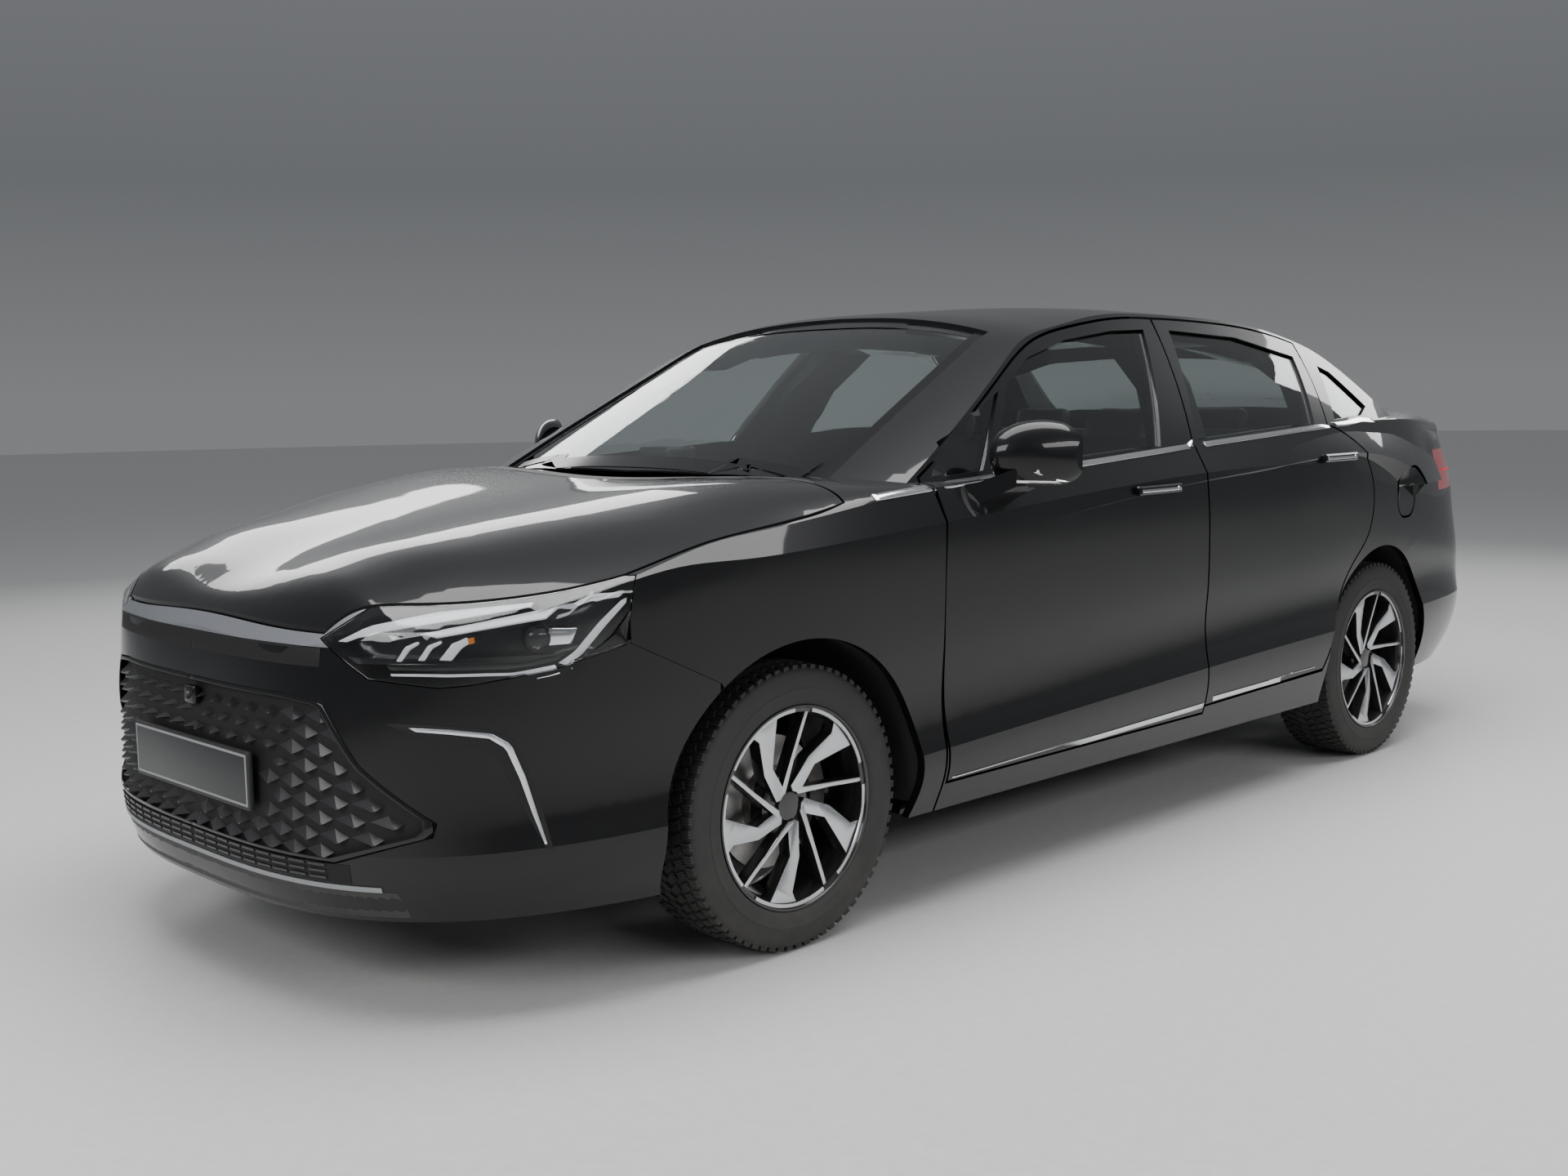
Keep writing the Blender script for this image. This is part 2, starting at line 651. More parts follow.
# %% Four wheels
def placed(sheet, centre, side):
    """Turns a left wheel's part to its side and sets it on its axle."""
    if side < 0:
        spin_round(sheet, sheet.verts, 180, "Z")
    bmesh.ops.translate(sheet, verts=sheet.verts, vec=centre)
    return sheet


for corner in CORNERS:
    low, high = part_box("tyre_" + corner)
    centre = (low + high) / 2
    side = OUT[corner.split("_")[1]]
    wheel = "wheel_" + corner
    spokes = publish("spokes_" + corner, placed(spoke_faces(), centre, side), wheel_black, wheel,
                     30, machined)
    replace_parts(spokes, "rim_" + corner)
    publish("barrel_" + corner, placed(barrel(), centre, side), wheel_black, wheel)
    publish("rim_arcs_" + corner, placed(rim_arcs(), centre, side), machined, wheel)
    publish("hub_" + corner, placed(hub(), centre, side), wheel_black, wheel, 30,
            disc_steel)
    publish("brake_disc_" + corner, placed(brake_disc(), centre, side), disc_steel, wheel)
    rubber_ring = publish("tread_" + corner, placed(tyre(), centre, side), tyre_rubber, wheel)
    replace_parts(rubber_ring, "tyre_" + corner)
    print(corner, "tyre faces:", len(rubber_ring.data.polygons))

# %% [markdown]
# Small shapes on the nose are easiest to place where the photograph shows them. A ray through a
# photograph point, from the fitted camera, meets the real panel there, so the piece lies on the
# panel in every view. The right side mirrors the left one.

# %% From a point of the photograph to the panel
LENS_PIXELS = 38.57 / 36 * 1920


def seen(skin, px, py, lift=0.0):
    """The place on a skin that the photograph shows at a point of its 1920 by 1440 frame."""
    ray = (forward + right * ((px - 960) / LENS_PIXELS) - up * ((py - 720) / LENS_PIXELS)).normalized()
    eye = camera.matrix_world.translation
    hit, normal, _, _ = skin.ray_cast(eye, ray, 12)
    if hit is None:
        hit = eye + ray * 3.0
        for _ in range(8):
            hit, normal, _, _ = skin.find_nearest(eye + ray * ray.dot(hit - eye))
    if normal.dot(ray) > 0:
        normal = -normal
    return hit + normal * lift


def mirror_row(row, side):
    """The same points on the left, 1, or the right, -1, side."""
    return [Vector((point.x, point.y * side, point.z)) for point in row]


def decal(name, skin, top, bottom, lift, thickness, finish, body, count=20):
    """A shaped band on both sides of the car between two rows of photograph points."""
    for label, side in OUT.items():
        rows = []
        for points in (bottom, top):
            flat_row = between([(px, py, 0) for px, py in points], count)
            rows.append(mirror_row([seen(skin, point.x, point.y, lift) for point in flat_row], side))
        facing = (0.6, 0.8 * side, 0.1)
        publish(name + "_" + label, band(rows[0], rows[1], thickness, facing), finish, body)


# %% [markdown]
# The grille is a moulding of overlapping diamonds. Each diamond is a four-sided cone with its
# tip pulled outwards, and rows are shifted by half a step. They shrink towards the top, where
# the openings let air through. The tips catch the light, the ground between them stays black.

# %% Grille diamonds
grille_black = Finish("grille_black", (0.004, 0.004, 0.004), 0.7)
grille_black.grained(400.0, 0.6, height=0.0001)
diamond_black = Finish("diamond_plastic", (0.034, 0.034, 0.036), 0.30)
diamond_black.dusty(0.5, 0.3)
grille_skin = surface_of("radiator_grille")
GRILLE_DEPTH = 0.017
PITCH_Y, PITCH_Z = 0.072, 0.0335
FOREMOST = 2.3138  # just inside the model's box

ground = merged("radiator_grille")
bmesh.ops.translate(ground, verts=ground.verts, vec=(-GRILLE_DEPTH, 0, 0))
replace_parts(publish("grille_ground", ground, grille_black, "body"), "radiator_grille")


def on_grille(y, z):
    return grille_skin.ray_cast(Vector((3.3, y, z)), Vector((-1, 0, 0)), 2)[0] is not None


diamonds = bmesh.new()
count = 0
for row in range(10):
    z = 0.334 + row * PITCH_Z
    for column in range(11):
        y = 0.006 + (column + 0.5 * (row % 2)) * PITCH_Y
        if not all(on_grille(y + dy, z + dz) for dy,
                   dz in ((0.028, 0), (-0.004, 0), (0.01, 0.011), (0.01, -0.011))):
            continue
        if 0.385 < z < 0.520 and y < 0.262:
            continue
        vented = z > 0.50 and y < 0.36
        wide, tall = (0.034, 0.0095) if vented else (0.043, 0.0180)
        place = lay(grille_skin, (2.3, y, z), (1, 0, 0))
        ahead = lay(grille_skin, (2.3, y + 0.02, z), (1, 0, 0))
        turn = math.atan2(place.x - ahead.x, 0.02)
        made = bmesh.ops.create_cone(diamonds, cap_ends=True, segments=4, radius1=1, radius2=0.12,
                                     depth=1)["verts"]
        spin_round(diamonds, made, 90, "Y")
        bmesh.ops.scale(diamonds, verts=made, vec=(GRILLE_DEPTH + 0.004, wide, tall))
        tips = [vert for vert in made if vert.co.x > 0]
        bmesh.ops.translate(diamonds, verts=tips, vec=(0, wide * 0.50, -tall * 0.55))
        bmesh.ops.rotate(diamonds, verts=made, cent=(0, 0, 0), matrix=Matrix.Rotation(turn, 3, "Z"))
        bmesh.ops.translate(diamonds, verts=made, vec=place + Vector((-GRILLE_DEPTH / 2 - 0.002, 0, 0)))
        count += 1
bmesh.ops.mirror(diamonds, geom=whole(diamonds), axis="Y", merge_dist=-1)
for vert in diamonds.verts:
    vert.co.x = min(vert.co.x, FOREMOST)
bmesh.ops.recalc_face_normals(diamonds, faces=diamonds.faces)
publish("grille_diamonds", diamonds, diamond_black, "body", 10)
print("grille diamonds:", 2 * count)

# %% Grille frame, plate and camera housing
half_frame = [(0.0, 0.641), (0.36, 0.641), (0.462, 0.632), (0.546, 0.510), (0.666, 0.402),
              (0.662, 0.376), (0.49, 0.318),
              (0.0, 0.318)]
mouth_skin = surface_of("radiator_grille", "front_bumper")
for label, side in OUT.items():
    line = between([(0, y, z) for y, z in half_frame], 70)
    inner = [Vector((0, p.y * 0.978, 0.478 + (p.z - 0.478) * 0.955)) for p in line]
    rows = [[lay(mouth_skin, (2.3, side * p.y, p.z), (1, 0, 0), lift) for p in row]
            for row, lift in ((inner, 0.003), (line, 0.002))]
    for point in rows[0] + rows[1]:
        point.x = min(point.x, 2.3138)
    publish("grille_frame_" + label, band(rows[0], rows[1], 0.004, (1, 0.3 * side, 0)), gloss_plastic,
            "body")

plate_grey = Finish("plate_face", (0.028, 0.029, 0.031), 0.35)
plate_grey.grained(500.0, 0.5, height=0.00008)
plate_rim = Finish("plate_border", (0.28, 0.29, 0.30), 0.4)


def soft_box(size, place, soft, segments=3):
    """A box with rounded edges."""
    sheet = bmesh.new()
    verts = bmesh.ops.create_cube(sheet, size=1)["verts"]
    bmesh.ops.scale(sheet, verts=verts, vec=size)
    bmesh.ops.bevel(sheet, geom=list(sheet.edges), offset=soft, segments=segments, profile=0.5,
                    affect="EDGES",
                    material=-1)
    bmesh.ops.translate(sheet, verts=sheet.verts, vec=place)
    return sheet


def box_piece(name, size, place, soft, finish):
    """A soft box as a finished piece of the body."""
    return publish(name, soft_box(size, place, soft), finish, "body")


box_piece("plate_holder", (0.012, 0.530, 0.122), (2.3068, 0, 0.452), 0.003, dull_plastic)
box_piece("plate_edge", (0.002, 0.516, 0.108), (2.3129, 0, 0.453), 0.0008, plate_rim)
box_piece("plate_blank", (0.0012, 0.506, 0.098), (2.3136, 0, 0.453), 0.0005, plate_grey)
top_eye = lay(grille_skin, (2.3, 0, 0.600), (1, 0, 0))
eye = soft_box((0.018, 0.046, 0.040), (top_eye.x - 0.004, 0, 0.600), 0.006)
lens = bmesh.ops.create_cone(eye, cap_ends=True, segments=24, radius1=0.010, radius2=0.007,
                             depth=0.010)["verts"]
spin_round(eye, lens, 90, "Y")
bmesh.ops.translate(eye, verts=lens, vec=(top_eye.x + 0.006, 0, 0.600))
publish("front_camera", eye, gloss_plastic, "body")

# %% [markdown]
# Under the grille an intake with slats runs to a thin grey lip. Between hood and bumper a satin
# silver bar sits over a dark slot. These are bands laid on the bumper.

# %% Intake, lip and slot
bumper_skin = surface_of("front_bumper", "nose_trim", "radiator_grille")
for label, side in OUT.items():
    for name, low_z, high_z, reach, finish, thick in (
            ("intake", 0.276, 0.314, 0.52, grille_black, 0.0012),
            ("lip", 0.262, 0.272, 0.575, plate_rim, 0.004),
            ("apron", 0.206, 0.262, 0.60, dull_plastic, 0.0015),
            ("bar_slot", 0.700, 0.7365, 0.455, grille_black, 0.0012)):
        line = between([(0, 0, 0), (0, reach, 0)], 30)
        low = [lay(bumper_skin, (2.3, side * p.y, low_z), (1, 0, 0), thick) for p in line]
        high = [lay(bumper_skin, (2.3, side * p.y, high_z), (1, 0, 0), thick) for p in line]
        for row in (low, high):
            for point in row:
                point.x = min(point.x, 2.3138)
        publish(name + "_" + label, band(low, high, thick, (1, 0, 0)), finish, "body")
    slats = bmesh.new()
    for k in range(9):
        y = side * (0.03 + 0.052 * k)
        for z in (0.284, 0.297, 0.310):
            place = lay(bumper_skin, (2.3, y, z), (1, 0, 0))
            beyond = lay(bumper_skin, (2.3, y + side * 0.02, z), (1, 0, 0))
            made = bmesh.ops.create_cube(slats, size=1)["verts"]
            bmesh.ops.scale(slats, verts=made, vec=(0.012, 0.043, 0.0045))
            bmesh.ops.rotate(slats, verts=made, cent=(0, 0, 0),
                             matrix=Matrix.Rotation(side * math.atan2(place.x - beyond.x, 0.02), 3,
                                                    "Z"))
            bmesh.ops.translate(slats, verts=made, vec=place - Vector((0.002, 0, 0)))
    for vert in slats.verts:
        vert.co.x = min(vert.co.x, FOREMOST)
    publish("intake_slats_" + label, slats, diamond_black, "body", 20)

# %% [markdown]
# A headlamp is a dark tub behind a clear cover. The cover is the outer face of the model's lamp,
# copied and given the wall of real plastic. The tub is the same face pushed back into the body.
# Between them lie the light guides, three slanted prisms, an orange blinker and a projector.

# %% Headlamp covers and tubs
lamp_dark = Finish("lamp_bezel", (0.012, 0.012, 0.013), 0.22)
lamp_dark.grained(600.0, 0.4, height=0.00005)
light_guide = Finish("light_guide", (0.80, 0.82, 0.84), 0.15)
light_guide.set("Emission Color", (0.9, 0.95, 1.0, 1))
light_guide.set("Emission Strength", 0.12)
light_guide.grained(900.0, 0.5, height=0.0001)
amber = Finish("blinker_amber", (0.75, 0.22, 0.02), 0.2)
amber.grained(900.0, 0.5, height=0.0001)
lamp_skin = surface_of("headlamps")


def outer_faces(name, side, facing, least):
    """The faces of a node that look outwards on one side, as a merged bmesh."""
    sheet = merged(name)
    sheet.normal_update()
    facing = Vector(facing).normalized()
    drop = [face for face in sheet.faces
            if face.calc_center_median().y * side < 0 or face.normal.dot(facing) < least]
    bmesh.ops.delete(sheet, geom=drop, context="FACES")
    return sheet


for label, side in OUT.items():
    facing = (0.75, 0.62 * side, 0.25)
    cover = outer_faces("headlamps", side, facing, 0.3)
    bmesh.ops.solidify(cover, geom=list(cover.faces), thickness=0.003)
    bmesh.ops.recalc_face_normals(cover, faces=cover.faces)
    cover_piece = publish("lamp_cover_" + label, cover, lamp_glass, "body")
    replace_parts(cover_piece, "headlamps")
    tub = outer_faces("headlamps", side, facing, 0.3)
    bmesh.ops.translate(tub, verts=tub.verts, vec=(-0.005, -0.003 * side, 0))
    mouth = list(tub.faces)
    pushed = bmesh.ops.extrude_face_region(tub, geom=mouth)
    moved_verts = [item for item in pushed["geom"] if isinstance(item, bmesh.types.BMVert)]
    bmesh.ops.translate(tub, verts=moved_verts, vec=(-0.060, -0.030 * side, 0.0))
    bmesh.ops.delete(tub, geom=mouth, context="FACES_ONLY")
    bmesh.ops.solidify(tub, geom=list(tub.faces), thickness=0.0012)
    bmesh.ops.recalc_face_normals(tub, faces=tub.faces)
    publish("lamp_tub_" + label, tub, lamp_dark, "body")


# %% Light guides, prisms and projector
def crop(x, y):
    """A point read in an enlarged view of the nose, as a photograph point."""
    return 150 + x / 2, 640 + y / 2


def inside_lamp(name, top, bottom, depth, thickness, finish, count=16):
    decal(name, lamp_skin, [crop(*p) for p in top], [crop(*p) for p in bottom], -depth, thickness,
          finish, "body",
          count)


inside_lamp("upper_guide", [(520, 285), (600, 246), (760, 212), (1005, 186)],
            [(540, 292), (620, 262), (770, 236), (1000, 196)],
            0.010, 0.003, light_guide)
inside_lamp("bright_guide", [(640, 276), (740, 252), (860, 228), (1060, 186), (1240, 170)],
            [(650, 290), (740, 268), (870, 244), (1070, 206), (1225, 184)], 0.020, 0.004, light_guide)
inside_lamp("end_guide", [(1250, 185), (1192, 250), (1130, 325), (1085, 356)],
            [(1228, 190), (1170, 248), (1112, 318), (1070, 346)],
            0.012, 0.003, light_guide)
inside_lamp("low_guide", [(650, 372), (800, 374), (960, 370), (1062, 350)],
            [(652, 378), (800, 381), (960, 377), (1068, 357)],
            0.012, 0.002, light_guide)
inside_lamp("prism_one", [(657, 343), (680, 306), (714, 292)], [(672, 344), (692, 314), (716, 300)],
            0.022, 0.008, light_guide, 8)
inside_lamp("prism_two", [(713, 341), (738, 304), (773, 290)], [(730, 342), (750, 312), (776, 298)],
            0.022, 0.008, light_guide, 8)
inside_lamp("prism_three", [(768, 341), (800, 300), (838, 284)], [(800, 343), (826, 312), (856, 294)],
            0.022, 0.010, light_guide, 8)
inside_lamp("blinker", [(842, 286), (858, 282)], [(846, 302), (862, 297)], 0.020, 0.004, amber, 4)
inside_lamp("reflector", [(1052, 262), (1125, 262)], [(1052, 306), (1110, 302)], 0.030, 0.004, chrome,
            6)
inside_lamp("lamp_floor", [(630, 348), (800, 350), (990, 344), (1100, 318)],
            [(640, 366), (800, 369), (980, 364), (1082, 342)],
            0.024, 0.004, gloss_plastic)
for label, side in OUT.items():
    spot = seen(lamp_skin, *crop(1026, 290), -0.034)
    outward = (seen(lamp_skin, *crop(1026, 290), 0.1) - spot).normalized()
    eye = bmesh.new()
    ball = bmesh.ops.create_uvsphere(eye, u_segments=32, v_segments=16, radius=0.024)["verts"]
    bmesh.ops.scale(eye, verts=ball, vec=(1, 1, 0.55))
    ring = bmesh.ops.create_cone(eye, cap_ends=True, segments=40, radius1=0.031, radius2=0.027,
                                 depth=0.020)["verts"]
    bmesh.ops.translate(eye, verts=ring, vec=(0, 0, -0.008))
    for face in {face for vert in ring for face in vert.link_faces}:
        face.material_index = 1
    bmesh.ops.rotate(eye, verts=eye.verts, cent=(0, 0, 0),
                     matrix=outward.to_track_quat("Z", "Y").to_matrix())
    bmesh.ops.translate(eye, verts=eye.verts, vec=spot)
    for vert in eye.verts:
        vert.co.y *= side
    bmesh.ops.recalc_face_normals(eye, faces=eye.faces)
    publish("projector_" + label, eye, lamp_glass, "body", 40, lamp_dark)

# %% [markdown]
# In each bumper corner a boomerang-shaped recess holds a light guide with a bright edge.

# %% Corner recesses
corner_skin = surface_of("front_bumper", "front_fenders")
decal("corner_recess", corner_skin,
      [crop(*p) for p in ((640, 492), (760, 496), (900, 508), (960, 530), (1000, 620), (1030, 710),
                          (1056, 800))],
      [crop(*p) for p in ((650, 496), (740, 530), (860, 548), (912, 566), (952, 640), (994, 722),
                          (1040, 800))],
      0.0016, 0.0016, grille_black, "body", 36)
decal("corner_light", corner_skin,
      [crop(*p) for p in ((700, 502), (800, 506), (905, 516), (952, 542), (986, 620), (1014, 706),
                          (1040, 786))],
      [crop(*p) for p in ((720, 512), (800, 518), (898, 528), (938, 552), (972, 626), (1003, 712),
                          (1034, 788))],
      0.005, 0.004, satin_silver, "body", 36)
decal("lamp_corner_skin", lamp_skin,
      [crop(*p) for p in ((1268, 176), (1236, 226), (1200, 276), (1150, 318), (1092, 352))],
      [crop(*p) for p in ((1276, 190), (1268, 250), (1262, 306), (1180, 330), (1096, 362))],
      0.0042, 0.001, paint, "body", 24)

# %% [markdown]
# Bright trim runs along the sides: a belt line under the windows and a strip low on the doors.
# On the real car each panel carries its own length of it, with small breaks at the door gaps, so
# every length rides on its own body here and moves with its door.

# %% Belt line and sill strips
PANELS = {"fender": ("front_fenders", "body"), "front": ("front_door_%s", "front_door_%s"),
          "rear": ("rear_door_%s", "rear_door_%s"), "quarter": ("body_shell", "body")}
BELT = [(1.088, 0.980), (0.715, 1.005), (0.256, 1.027), (-0.151, 1.049), (-0.850, 1.082),
        (-1.117, 1.094),
        (-1.224, 1.104), (-1.318, 1.100)]
SILL = [(0.862, 0.296), (-0.240, 0.320), (-0.252, 0.332), (-0.870, 0.342)]


def cut_line(line, start, end):
    """The part of a line of x and z pairs between two places along the car."""
    row = []
    for a, b in zip(line, line[1:]):
        for x in (start, end):
            if b[0] <= x <= a[0]:
                share = (a[0] - x) / (a[0] - b[0])
                row.append((x, round(a[1] + (b[1] - a[1]) * share, 5)))
        if end < b[0] < start:
            row.append(b)
    if end <= line[0][0] <= start:
        row.append(line[0])
    if end <= line[-1][0] <= start and line[-1] not in row:
        row.append(line[-1])
    return sorted(set(row), reverse=True)


def side_trim(name, line, breaks, width, thickness, finish):
    """One trim line, broken at the panel gaps."""
    for label, side in OUT.items():
        for panel, start, end in breaks:
            node, body = [word % label if "%s" in word else word for word in PANELS[panel]]
            skin = surface_of(node)
            points = [(x, 0.87 * side, z) for x, z in cut_line(line, start, end)]
            strip("%s_%s_%s" % (name, panel, label), skin, points, (0, side, 0.12), width, thickness,
                  finish, body,
                  16, (0, 0, 1))


side_trim("belt_trim", BELT, [("fender", 1.088, 0.900), ("front", 0.888, -0.252),
                              ("rear", -0.268, -0.990),
                              ("quarter", -1.016, -1.318)], 0.014, 0.004, chrome)
side_trim("sill_trim", SILL, [("front", 0.862, -0.238), ("rear", -0.252, -0.862)], 0.014, 0.004, chrome)

# %% Door handle trim
HANDLES = {"front": (0.026, 0.9455), "rear": (-0.9675, 0.993)}
for label, side in OUT.items():
    for panel, (x, z) in HANDLES.items():
        door = panel + "_door_" + label
        skin = surface_of(door)
        strip("handle_trim_%s_%s" % (panel, label), skin,
              [(x + 0.092, 0.87 * side, z - 0.001), (x - 0.092, 0.87 * side, z - 0.001)],
              (0, side, 0), 0.009, 0.0016, chrome, door, 12)
        lock = bmesh.new()
        bmesh.ops.create_cone(lock, cap_ends=True, segments=20, radius1=0.006, radius2=0.0052,
                              depth=0.002)
        spin_round(lock, lock.verts, -90 * side, "X")
        bmesh.ops.translate(lock, verts=lock.verts,
                            vec=lay(skin, (x - 0.080, 0.87 * side, z), (0, side, 0), 0.001))
        publish("handle_button_%s_%s" % (panel, label), lock, satin_silver, door)

# %% [markdown]
# The mirror glass is the flat rear face of the housing, copied, drawn in a little and given a
# thickness. A real one is a first-surface mirror, so its finish is a smooth bright metal.

# %% Door mirrors
mirror_silver = Finish("mirror_silver", (0.78, 0.80, 0.82), 0.02, 1.0)
mirror_silver.grained(60.0, 0.3, shades=(0.015, 0.05))
for label, side in OUT.items():
    pane = outer_faces("mirror_" + label, side, (-0.91, -0.41 * side, 0), 0.93)
    centre = sum((vert.co for vert in pane.verts), Vector()) / max(len(pane.verts), 1)
    bmesh.ops.translate(pane, verts=pane.verts, vec=-centre)
    bmesh.ops.scale(pane, verts=pane.verts, vec=(0.90, 0.90, 0.86))
    bmesh.ops.translate(pane, verts=pane.verts, vec=centre + Vector((-0.0012, 0, 0)))
    bmesh.ops.solidify(pane, geom=list(pane.faces), thickness=0.001)
    publish("mirror_glass_" + label, pane, mirror_silver, "front_door_" + label)
    skin = surface_of("mirror_" + label)
    strip("mirror_trim_" + label, skin, [(0.70, 0.950 * side, 1.0), (0.70, 1.036 * side, 1.0)],
          (1, 0, 0.05),
          0.006, 0.0016, chrome, "front_door_" + label, 14)

# %% [markdown]
# Black ceramic paint hides the glue round a bonded windscreen. It is a band on the glass edge.

# %% Windscreen border
screen_skin = surface_of("windscreen")
frit = Finish("ceramic_border", (0.006, 0.006, 0.007), 0.16)
frit.grained(300.0, 0.4, height=0.00003)
for label, side in OUT.items():
    low, high = [[lay(screen_skin, (x, side * y, 1.35 - 0.45 * x), (0, 0, 1), 0.0012)
                  for x, y in [(1.020 - 0.705 * k / 20, foot_y - 0.088 * k / 20) for k in range(21)]]
                 for foot_y in (0.648, 0.615)]
    publish("screen_border_" + label, band(low, high, 0.001, (0.3, 0, 1), 0), frit, "body")
for name, near, far in (("top", 0.300, 0.348), ("bottom", 1.040, 1.090)):
    reach = 0.54 if name == "top" else 0.62
    low = [lay(screen_skin, (near, reach * (k / 12 - 1), 1.2), (0, 0, 1), 0.0012) for k in range(25)]
    high = [lay(screen_skin, (far, reach * (k / 12 - 1), 1.2), (0, 0, 1), 0.0012) for k in range(25)]
    publish("screen_border_" + name, band(low, high, 0.001, (0.3, 0, 1), 0), frit, "body")
eye_box = lay(screen_skin, (0.392, 0, 0), (0, 0, 1))
box_piece("rain_sensor", (0.10, 0.12, 0.03), eye_box - Vector((0.0, 0, 0.036)), 0.008, dull_plastic)
mirror_spot = eye_box + Vector((-0.035, 0, -0.095))
box_piece("inside_mirror", (0.022, 0.235, 0.062), mirror_spot, 0.010, gloss_plastic)
box_piece("inside_mirror_glass", (0.001, 0.220, 0.050), mirror_spot + Vector((-0.0115, 0, 0)), 0.0004,
          mirror_silver)
box_piece("inside_mirror_stem", (0.02, 0.02, 0.07), eye_box + Vector((-0.02, 0, -0.055)), 0.006,
          dull_plastic)

# %% [markdown]
# The tail has two corner lamps and a red bar that joins them across the lid. Under the bar is a
# plain plate between two small lights, and below it a dark valance with one bright line.

# %% Tail
tail_guide = Finish("tail_guide", (0.55, 0.01, 0.015), 0.25)
tail_guide.set("Emission Color", (1.0, 0.02, 0.02, 1))
tail_guide.set("Emission Strength", 0.25)
tail_guide.grained(700.0, 0.5, height=0.0001)
lid_skin = surface_of("trunk_lid")
rear_skin = surface_of("rear_bumper")


def across(name, skin, reach, z, width, thickness, finish, body, tail=-2.3305):
    """A band across the tail at one height, kept inside the car's length."""
    line = between([(0, -reach, 0), (0, reach, 0)], 40)
    rows = []
    for level in (z - width / 2, z + width / 2):
        rows.append([lay(skin, (-2.0, point.y, level), (-1, 0, 0), thickness) for point in line])
        for point in rows[-1]:
            point.x = max(point.x, tail)
    return publish(name, band(rows[0], rows[1], thickness, (-1, 0, 0)), finish, body)


across("tail_bar_back", lid_skin, 0.575, 0.932, 0.062, 0.002, gloss_plastic, "trunk_lid")
across("tail_bar", lid_skin, 0.572, 0.935, 0.030, 0.006, red_glass, "trunk_lid")
across("tail_bar_guide", lid_skin, 0.572, 0.935, 0.008, 0.0075, tail_guide, "trunk_lid")
across("valance", rear_skin, 0.70, 0.315, 0.110, 0.002, dull_plastic, "body")
across("valance_line", rear_skin, 0.62, 0.345, 0.007, 0.006, satin_silver, "body")
plate_low = lay(lid_skin, (-2.0, 0, 0.775), (-1, 0, 0))
plate_high = lay(lid_skin, (-2.0, 0, 0.875), (-1, 0, 0))
lean = math.atan2(plate_high.x - plate_low.x, 0.1)
for name, size, lift, soft, finish in (("rear_plate_holder", (0.010, 0.530, 0.122), 0.003, 0.003,
                                        dull_plastic),
                                       ("rear_plate_edge", (0.002, 0.516, 0.108), 0.009, 0.0008,
                                        plate_rim),
                                       ("rear_plate_blank", (0.0012, 0.506, 0.098), 0.0102, 0.0005,
                                        plate_grey)):
    plate = soft_box(size, (0, 0, 0), soft)
    bmesh.ops.rotate(plate, verts=plate.verts, cent=(0, 0, 0), matrix=Matrix.Rotation(lean, 3, "Y"))
    bmesh.ops.translate(plate, verts=plate.verts,
                        vec=(plate_low + plate_high) / 2 + Vector((-lift, 0, 0)))
    publish(name, plate, finish, "trunk_lid")
for label, side in OUT.items():
    lamp = surface_of("tail_lamps")
    rows = []
    for z in (0.905, 0.913):
        line = between([(-1.96, 0.80, z), (-2.15, 0.74, z), (-2.26, 0.62, z)], 24)
        rows.append([lay(lamp, (p.x, side * p.y, p.z), (-0.6, 0.8 * side, 0), 0.0015) for p in line])
    publish("tail_guide_" + label, band(rows[0], rows[1], 0.002, (-0.6, 0.8 * side, 0)), tail_guide,
            "body")
    rows = []
    for z in (0.385, 0.405):
        line = between([(-2.20, 0.70, z), (-2.29, 0.56, z)], 12)
        rows.append([lay(rear_skin, (p.x, side * p.y, p.z), (-0.9, 0.45 * side, 0),
                         0.003) for p in line])
    publish("rear_reflector_" + label, band(rows[0], rows[1], 0.003, (-0.9, 0.45 * side, 0)), red_glass,
            "body")

# %% [markdown]
# Seats are foam under a stretched cover. Each pad starts as a block with drawn-in corners, is
# remeshed and blown up by a short cloth run with pressure, which gives the soft crown and the
# pull between the corners. The seams and the channels are pressed in afterwards.

# %% Seat pads
seat_leather = Finish("seat_leather", (0.045, 0.046, 0.049), 0.55)
seat_leather.grained(260.0, 0.8, height=0.0004, shades=(0.48, 0.62))


